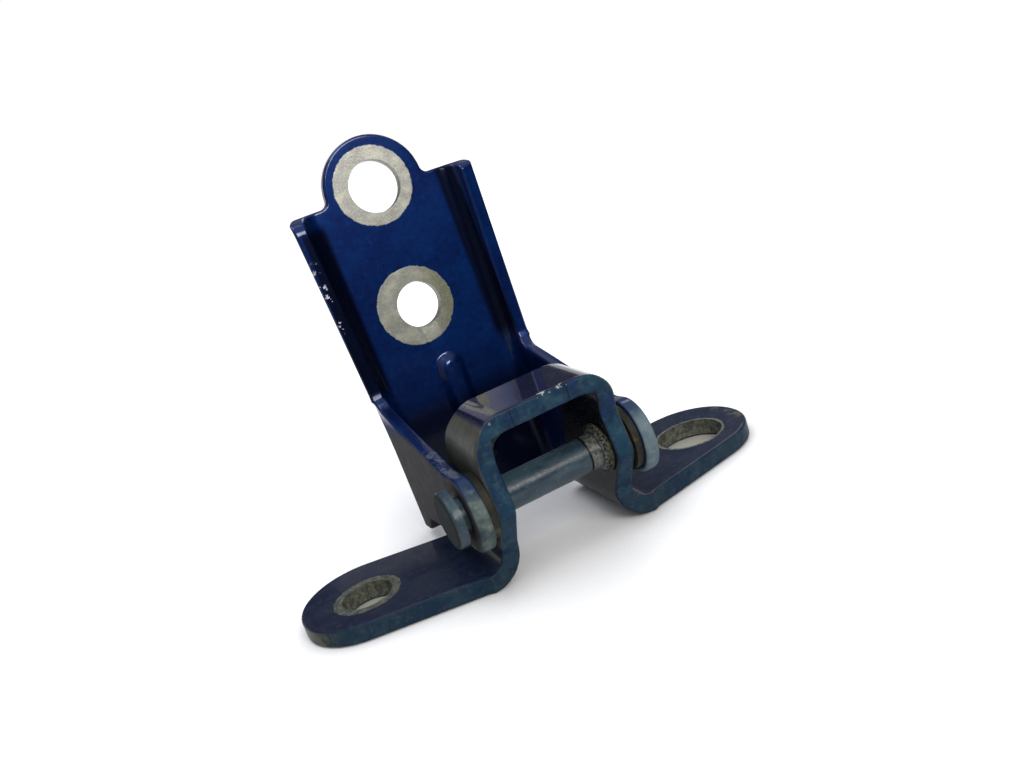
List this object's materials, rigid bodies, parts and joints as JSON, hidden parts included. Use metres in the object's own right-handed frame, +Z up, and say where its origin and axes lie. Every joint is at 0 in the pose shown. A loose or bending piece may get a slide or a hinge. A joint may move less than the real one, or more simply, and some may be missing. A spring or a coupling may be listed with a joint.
{
  "type": "car door hinge",
  "caption": "Car door hinge: channel-shaped door leaf with two bolt holes on a riveted pin, and an omega bracket with two bolted feet, navy blue paint.",
  "frame": {"origin": "midway between the two foot holes, on the undersides of the bracket's feet", "axes": "+X along the hinge pin, +Y from the pin towards the leaf's bolt plate, +Z up, square to the feet"},
  "size_m": [0.1198, 0.0713, 0.0989],
  "materials": {
    "bracket_paint": "satin",
    "leaf_paint": "gloss",
    "pin_paint": "satin",
    "bush_metal": "satin"
  },
  "bodies": {
    "bracket": {"hat_bracket": "bracket_paint", "hinge_pin": "pin_paint"},
    "leaf": {"channel_leaf": "leaf_paint", "left_bush": "bush_metal", "right_bush": "bush_metal"}
  },
  "joints": [
    {"name": "door_swing", "type": "hinge", "parent": "bracket", "child": "leaf", "pos_m": [0, -0.021, 0.0204], "axis": [1, 0, 0], "range_deg": [0, 74]}
  ]
}
